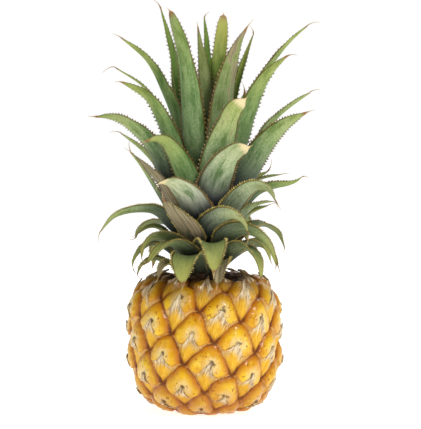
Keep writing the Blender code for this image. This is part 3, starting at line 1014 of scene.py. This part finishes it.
def thorn_tree():
    """Geometry nodes that set a row of small hooked thorns along a blade's margins."""
    tree = bpy.data.node_groups.new("margin_thorns", "GeometryNodeTree")
    face = tree.interface
    face.new_socket("Blade", in_out="INPUT", socket_type="NodeSocketGeometry")
    for label in ("Pitch", "Length", "Width"):
        face.new_socket(label, in_out="INPUT", socket_type="NodeSocketFloat")
    face.new_socket("Seed", in_out="INPUT", socket_type="NodeSocketInt")
    face.new_socket("Finish", in_out="INPUT", socket_type="NodeSocketMaterial")
    face.new_socket("Leaf", in_out="OUTPUT", socket_type="NodeSocketGeometry")
    graph = Graph(tree)
    given = graph.node("NodeGroupInput")
    pitch, length, width = given.output("Pitch"), given.output("Length"), given.output("Width")
    seed, finish = given.output("Seed"), given.output("Finish")

    def named(label, kind):
        settings = {"data_type": kind}
        return graph.node("GeometryNodeInputNamedAttribute", settings, {"Name": label})

    edges = graph.node("GeometryNodeMeshToCurve", {}, {0: given, 1: named("margin", "BOOLEAN")})
    settings = {"mode": "LENGTH"}
    spots = graph.node("GeometryNodeResampleCurve", settings, {"Curve": edges, "Length": pitch})
    cone = graph.node(
        "GeometryNodeMeshCone",
        {"fill_type": "NGON"},
        {"Vertices": 4, "Radius Top": 0.0, "Radius Bottom": width, "Depth": length},
    )
    aim = graph.node(
        "FunctionNodeAlignRotationToVector", {"axis": "Z"}, {"Vector": named("outward", "FLOAT_VECTOR")}
    )
    chance = graph.node(
        "FunctionNodeRandomValue",
        {"data_type": "FLOAT"},
        {"Min_001": 0.7, "Max_001": 1.25, "Seed": seed},
        "Value_001",
    )
    scale = named("thorn_size", "FLOAT") * chance
    thorns = graph.node(
        "GeometryNodeInstanceOnPoints",
        {},
        {"Points": spots, "Instance": cone, "Rotation": aim, "Scale": scale},
    )
    real = graph.node("GeometryNodeRealizeInstances", {}, {"Geometry": thorns})
    painted = graph.node("GeometryNodeSetMaterial", {}, {"Geometry": real, "Material": finish})
    join = graph.node("GeometryNodeJoinGeometry")
    for part in (painted, given):
        tree.links.new(part.socket, join.made.inputs[0])
    graph.node("NodeGroupOutput", {}, {0: join})
    return tree


def grow(piece, tree, **inputs):
    """Runs a tree on a piece and keeps the result as the piece's plain mesh."""
    modifier = piece.modifiers.new("growth", "NODES")
    modifier.node_group = tree
    for item in tree.interface.items_tree:
        if item.item_type == "SOCKET" and item.in_out == "INPUT" and item.name in inputs:
            modifier[item.identifier] = inputs[item.name]
    depsgraph = bpy.context.evaluated_depsgraph_get()
    made = bpy.data.meshes.new_from_object(piece.evaluated_get(depsgraph), depsgraph=depsgraph)
    piece.modifiers.clear()
    piece.data = made
    return piece


LEAF_GREEN = colour(42, 94, 24)
YOUNG_GREEN = colour(82, 136, 38)
VEIN_GREEN = colour(114, 148, 56)
OLIVE_GREEN = colour(108, 110, 60)
BLOOM_GREEN = colour(128, 152, 98)
BLOOM_GREY = colour(178, 188, 152)
BLOOM_WHITE = colour(206, 208, 186)
SUNNED_YELLOW = colour(182, 181, 92)
ROOT_SHADE = colour(34, 37, 46)
MARGIN_BROWN = colour(126, 98, 50)
WITHERED_BROWN = colour(92, 78, 62)
WITHERED_STRAW = colour(168, 150, 118)
TIP_BROWN = colour(140, 104, 62)
TIP_CREAM = colour(222, 206, 158)
TAIL_STRAW = colour(200, 172, 124)
THORN_BROWN = colour(108, 84, 44)
THORN_BUFF = colour(148, 120, 66)
THORN_OCHRE = colour(146, 128, 58)
THORN_YELLOW = colour(186, 170, 98)


def leaf_finish(name):
    """Leaf skin: green under a grey bloom, with painted shade at its root, yellow and dry towards its tip."""
    finish, graph, shade = new_finish(name)
    share = graph.attribute("share")
    across = graph.attribute("across")
    under = graph.attribute("under")
    bloom = graph.attribute("bloom")
    cream = graph.attribute("cream")
    lie = graph.attribute("lie", "Vector")
    spot = graph.node("ShaderNodeTexCoord", {}, {}, "Object")
    veins = graph.noise(graph.stretched(lie, (2.6, 0.05, 1.0)), 1.0, 4.0, 0.6)
    patches = graph.noise(graph.stretched(lie, (0.22, 0.06, 1.0)), 1.0, 4.0, 0.6)
    grain = graph.noise(spot, 900.0, 3.0, 0.6)
    rubs = graph.noise(graph.stretched(lie, (0.9, 0.35, 1.0)), 1.0, 3.0, 0.6, 0.5)

    green = graph.blend(graph.smooth(patches, 0.3, 0.7), LEAF_GREEN, YOUNG_GREEN)
    green = graph.blend(graph.smooth(veins, 0.4, 0.65) * 0.5, green, VEIN_GREEN)
    green = graph.blend(graph.attribute("olive"), green, OLIVE_GREEN)
    powder = graph.blend(graph.smooth(grain, 0.35, 0.7), BLOOM_GREEN, BLOOM_GREY)
    powder = graph.blend(graph.smooth(bloom, 0.9, 1.5), powder, BLOOM_WHITE)
    cover = bloom * (0.35 + under * 0.65) * graph.smooth(patches + veins * 0.35, 0.42, 0.78)
    cover = cover * (1 - graph.smooth(rubs, 0.62, 0.7) * 0.2)
    skin = graph.blend(cover, green, powder)

    sunned = graph.attribute("yellow") * graph.smooth(share + patches * 0.5, 0.75, 1.25)
    skin = graph.blend(sunned, skin, SUNNED_YELLOW)
    # Painted shade at each leaf's root, deep in the crown where the leaves shade one another.
    shaded = graph.attribute("dark") * graph.smooth(share + veins * 0.16, 0.86, 0.32)
    skin = graph.blend(shaded * 0.94, skin, ROOT_SHADE)
    margin = graph.smooth(graph.maths("ABSOLUTE", across), 0.86, 0.99)
    skin = graph.blend(margin * 0.7, skin, MARGIN_BROWN)
    withered = graph.smooth(patches + share * 0.35 + graph.attribute("dry") * 0.55, 0.98, 1.12)
    straw = graph.blend(graph.smooth(veins, 0.35, 0.65), WITHERED_BROWN, WITHERED_STRAW)
    skin = graph.blend(withered * 0.85, skin, straw)
    tip = graph.smooth(share + veins * 0.08 + cream * 0.03, 0.975, 1.02)
    skin = graph.blend(tip, skin, graph.blend(cream, TIP_BROWN, TIP_CREAM))
    skin = graph.blend(graph.smooth(share, 1.0, 1.08), skin, TAIL_STRAW)
    shade(
        Base_Color=skin,
        Roughness=0.5 + cover * 0.2,
        Specular_IOR_Level=0.25,
        Subsurface_Weight=0.05,
        Subsurface_Radius=(0.002, 0.004, 0.001),
        Normal=graph.bump(veins + grain * 0.25, 0.35, 0.0005),
    )
    return finish


def thorn_finish(name, dark, light):
    """Horny thorns between two tones."""
    finish, graph, shade = new_finish(name)
    spot = graph.node("ShaderNodeTexCoord", {}, {}, "Object")
    tone = graph.noise(spot, 700.0, 2.0)
    skin = graph.blend(graph.smooth(tone, 0.35, 0.65), dark, light)
    shade(Base_Color=skin, Roughness=0.5, Normal=graph.bump(tone, 0.3, 0.0002))
    return finish


def make_leaves():
    """Every leaf of the crown on its CAD leaf's rails, with its margins' thorns."""
    tree = thorn_tree()
    skins = {}
    brown_thorn = thorn_finish("brown_thorn", THORN_BROWN, THORN_BUFF)
    yellow_thorn = thorn_finish("yellow_thorn", THORN_OCHRE, THORN_YELLOW)
    for seed, node in enumerate(sorted(name for name in SLOT_OF if "leaf" in name)):
        looks = looks_of(node)
        points, faces, facts = leaf_form(node, looks, seed + 1)
        slot = SLOT_OF[node]
        if slot not in skins:
            skins[slot] = leaf_finish(slot + "_skin")
        piece = mesh_piece(node + "_blade", points, faces, skins[slot], facts)
        grow(
            piece,
            tree,
            Pitch=looks["pitch"] * MM,
            Length=looks["thorn"] * THORN_LENGTH,
            Width=THORN_WIDTH,
            Seed=seed,
            Finish=yellow_thorn if kind_of(node) in ("lower", "basal") else brown_thorn,
        )
        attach(piece, "root")
        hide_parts(node)


# ---------------------------------------------------------------- the crown's stem

BARK_DARK = colour(52, 40, 34)
BARK_OLIVE = colour(104, 92, 66)


def stem_finish():
    """Fibrous brown bark."""
    finish, graph, shade = new_finish("stem_bark")
    spot = graph.node("ShaderNodeTexCoord", {}, {}, "Object")
    fibres = graph.noise(graph.stretched(spot, (500.0, 500.0, 90.0)), 1.0, 4.0)
    skin = graph.blend(graph.smooth(fibres, 0.3, 0.7), BARK_DARK, BARK_OLIVE)
    shade(Base_Color=skin, Roughness=0.75, Normal=graph.bump(fibres, 0.6, 0.0008))
    return finish


def make_stem(finish):
    """A tapering core with the ring scars of its leaves."""
    low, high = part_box("crown_stem")
    rows, around = 48, 40
    shares = np.linspace(0, 1, rows)
    widest = (high.y - low.y) / 2
    scars = 1 + 0.04 * np.sin(shares * 2 * math.pi * 11)
    radii = (widest * 1.1 * (1 - 0.66 * shares) * scars)[:, None]
    turns = np.arange(around) * 2 * math.pi / around
    ripple = (1 + 0.03 * np.sin(turns * 7))[None]
    east = low.x + widest + radii * ripple * np.cos(turns)[None]
    north = (low.y + high.y) / 2 + radii * ripple * np.sin(turns)[None]
    height = np.repeat((low.z + (high.z - low.z) * shares)[:, None], around, axis=1)
    points = np.stack([east, north, height], axis=-1).reshape(-1, 3)
    piece = mesh_piece("crown_core", points, tube_faces(rows, around), finish)
    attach(piece, "root")
    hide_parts("crown_stem")


# ---------------------------------------------------------------- the neck's dried scales

SCALE_LENGTH = 12.0 * MM
SCALE_LEAST = 0.6
SCALE_MOST = 0.9
SCALE_RINGS = (
    dict(count=17, radius=12.5, height=85.5, rise=-0.25),
    dict(count=14, radius=10.5, height=88.5, rise=-0.05),
    dict(count=15, radius=15.0, height=83.5, rise=-0.4),
)
SCALE_DARK = colour(66, 44, 34)
SCALE_BROWN = colour(138, 100, 62)
SCALE_STRAW = colour(176, 142, 94)


def scale_finish():
    """Dry brown fibres with straw patches."""
    finish, graph, shade = new_finish("dried_scale")
    spot = graph.node("ShaderNodeTexCoord", {}, {}, "Object")
    fibres = graph.noise(graph.stretched(spot, (420.0, 420.0, 160.0)), 1.0, 4.0)
    patch = graph.noise(spot, 150.0, 2.0)
    skin = graph.blend(graph.smooth(fibres, 0.3, 0.7), SCALE_DARK, SCALE_BROWN)
    skin = graph.blend(graph.smooth(patch, 0.5, 0.68) * 0.7, skin, SCALE_STRAW)
    shade(Base_Color=skin, Roughness=0.8, Normal=graph.bump(fibres, 0.6, 0.0006))
    return finish


def scale_shape():
    """One small pointed scale that leaves its root outwards and droops."""
    rows, half_around = 9, 4
    shares = np.linspace(0, 1, rows)
    angles = np.arange(2 * half_around) * math.pi / half_around
    out = shares * SCALE_LENGTH
    droop = (2.2 * np.sin(shares * math.pi * 0.7) - 4.5 * shares**2) * MM
    half = (2.8 * (1 - shares) ** 0.6 * (0.6 + 0.8 * shares) + 0.1) * MM
    thick = (0.45 * (1 - shares) + 0.08) * MM
    across = half[:, None] * np.cos(angles)[None]
    lift = thick[:, None] * np.sin(angles)[None] + 0.12 * across**2 / half[:, None]
    points = np.stack([out[:, None] + 0 * across, across, droop[:, None] + lift], axis=-1)
    mesh = bpy.data.meshes.new("scale_shape")
    mesh.from_pydata(points.reshape(-1, 3).tolist(), [], tube_faces(rows, 2 * half_around))
    mesh.polygons.foreach_set("use_smooth", [True] * len(mesh.polygons))
    return bpy.data.objects.new("scale_shape", mesh)


def scatter_tree():
    """Geometry nodes that set a shape on every point, turned outwards, with its own size."""
    tree = bpy.data.node_groups.new("scatter_outwards", "GeometryNodeTree")
    face = tree.interface
    face.new_socket("Spots", in_out="INPUT", socket_type="NodeSocketGeometry")
    face.new_socket("Shape", in_out="INPUT", socket_type="NodeSocketObject")
    face.new_socket("Least", in_out="INPUT", socket_type="NodeSocketFloat")
    face.new_socket("Most", in_out="INPUT", socket_type="NodeSocketFloat")
    face.new_socket("Seed", in_out="INPUT", socket_type="NodeSocketInt")
    face.new_socket("Finish", in_out="INPUT", socket_type="NodeSocketMaterial")
    face.new_socket("Pieces", in_out="OUTPUT", socket_type="NodeSocketGeometry")
    graph = Graph(tree)
    given = graph.node("NodeGroupInput")
    seed = given.output("Seed")
    shape = graph.node("GeometryNodeObjectInfo", {}, {"Object": given.output("Shape")}, "Geometry")
    settings = {"data_type": "FLOAT_VECTOR"}
    outward = graph.node("GeometryNodeInputNamedAttribute", settings, {"Name": "outward"})
    aim = graph.node("FunctionNodeAlignRotationToVector", {"axis": "X"}, {"Vector": outward})
    limits = {"Min_001": given.output("Least"), "Max_001": given.output("Most"), "Seed": seed}
    size = graph.node("FunctionNodeRandomValue", {"data_type": "FLOAT"}, limits, "Value_001")
    placed = {"Points": given, "Instance": shape, "Rotation": aim, "Scale": size}
    pieces = graph.node("GeometryNodeInstanceOnPoints", {}, placed)
    real = graph.node("GeometryNodeRealizeInstances", {}, {"Geometry": pieces})
    painted = {"Geometry": real, "Material": given.output("Finish")}
    graph.node("NodeGroupOutput", {}, {0: graph.node("GeometryNodeSetMaterial", {}, painted)})
    return tree


def spots_piece(name, points, outward):
    """Loose points, each with the direction that its scale leaves in."""
    mesh = bpy.data.meshes.new(name)
    mesh.from_pydata(np.asarray(points).tolist(), [], [])
    layer = mesh.attributes.new("outward", "FLOAT_VECTOR", "POINT")
    layer.data.foreach_set("vector", np.asarray(outward, dtype=np.float32).ravel())
    piece = bpy.data.objects.new(name, mesh)
    bpy.context.scene.collection.objects.link(piece)
    return piece


def make_neck_scales(finish, tree):
    """Rings of dried scales round the neck, each a little out of its place."""
    points, outward = [], []
    dice = np.random.default_rng(21)
    for ring in SCALE_RINGS:
        for step in range(ring["count"]):
            turn = (step + dice.uniform(-0.25, 0.25)) * 2 * math.pi / ring["count"] + ring["radius"]
            radius = ring["radius"] + dice.uniform(-1, 1)
            height = ring["height"] + dice.uniform(-1, 1)
            points.append((radius * MM * math.cos(turn), radius * MM * math.sin(turn), height * MM))
            outward.append((math.cos(turn), math.sin(turn), ring["rise"] + dice.uniform(-0.2, 0.2)))
    piece = spots_piece("neck_scales", points, outward)
    shape = scale_shape()
    grow(piece, tree, Shape=shape, Least=SCALE_LEAST, Most=SCALE_MOST, Seed=4, Finish=finish)
    bpy.data.objects.remove(shape)
    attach(piece, "root")


# ---------------------------------------------------------------- floor, light and camera

FLOOR_SIDE = 8.0
FLOOR_DROP = 0.2 * MM
LIT_MIDDLE = (0.0, 0.0, 0.12)


def make_stage():
    """A plain white floor, a hair below the base."""
    finish, _, shade = new_finish("pale_floor")
    white = (1.0, 1.0, 1.0, 1.0)
    shade(Base_Color=(0.9, 0.9, 0.9, 1.0), Roughness=0.9, Emission_Color=white, Emission_Strength=0.8)
    half = FLOOR_SIDE / 2
    corners = [(-half, -half, 0), (half, -half, 0), (half, half, 0), (-half, half, 0)]
    mesh = bpy.data.meshes.new("floor")
    mesh.from_pydata(corners, [], [(0, 1, 2, 3)])
    mesh.materials.append(finish)
    floor = bpy.data.objects.new("floor", mesh)
    floor.location.z = -FLOOR_DROP
    bpy.context.scene.collection.objects.link(floor)


def add_light(name, place, size, power):
    """A round soft light that faces the middle of the pineapple."""
    data = bpy.data.lights.new(name, "AREA")
    data.shape = "DISK"
    data.size = size
    data.energy = power
    light = bpy.data.objects.new(name, data)
    light.location = place
    light.rotation_euler = (Vector(LIT_MIDDLE) - Vector(place)).to_track_quat("-Z", "Y").to_euler()
    bpy.context.scene.collection.objects.link(light)


def make_lights():
    """A white room that is dimmer overhead, with a key, a fill and a rim light."""
    world = bpy.data.worlds.new("studio")
    world.use_nodes = True
    world.node_tree.nodes.clear()
    graph = Graph(world.node_tree)
    way = graph.node("ShaderNodeTexCoord", {}, {}, "Generated")
    height = graph.node("ShaderNodeSeparateXYZ", {}, {0: way}).output(2)
    strength = 1.0 - 0.78 * graph.smooth(height, 0.05, 0.4)
    room = graph.node("ShaderNodeBackground", {}, {"Color": (1, 1, 1, 1), "Strength": strength})
    graph.node("ShaderNodeOutputWorld", {}, {"Surface": room})
    bpy.context.scene.world = world
    bpy.context.scene.view_settings.view_transform = "Standard"
    add_light("key", (0.7, -0.85, 1.1), size=0.4, power=11.0)
    add_light("fill", (-0.9, -0.7, 0.5), size=0.8, power=1.3)
    add_light("rim", (0.3, 0.9, 0.8), size=0.7, power=4.5)


VIEW_DISTANCE = 1.3
VIEW_HEIGHT = 0.27885
VIEW_SHIFT = 0.0151515
VIEW_LIFT = math.radians(4.0)
VIEW_AIM = Vector((0.0, 0.0, 0.1274))


def make_camera():
    """Looks at the front from a little above, from far enough away that lines stay nearly parallel."""
    data = bpy.data.cameras.new("camera")
    data.sensor_width = 36.0
    data.lens = data.sensor_width * VIEW_DISTANCE / VIEW_HEIGHT
    data.shift_x = VIEW_SHIFT
    camera = bpy.data.objects.new("camera", data)
    back = Vector((0.0, -math.cos(VIEW_LIFT), math.sin(VIEW_LIFT)))
    camera.location = VIEW_AIM + back * VIEW_DISTANCE
    camera.rotation_euler = (-back).to_track_quat("-Z", "Y").to_euler()
    bpy.context.scene.collection.objects.link(camera)
    bpy.context.scene.camera = camera


make_fruit(rind_finish())
make_papery_bracts(papery_finish())
make_stem(stem_finish())
make_leaves()
make_neck_scales(scale_finish(), scatter_tree())
make_stage()
make_lights()
make_camera()
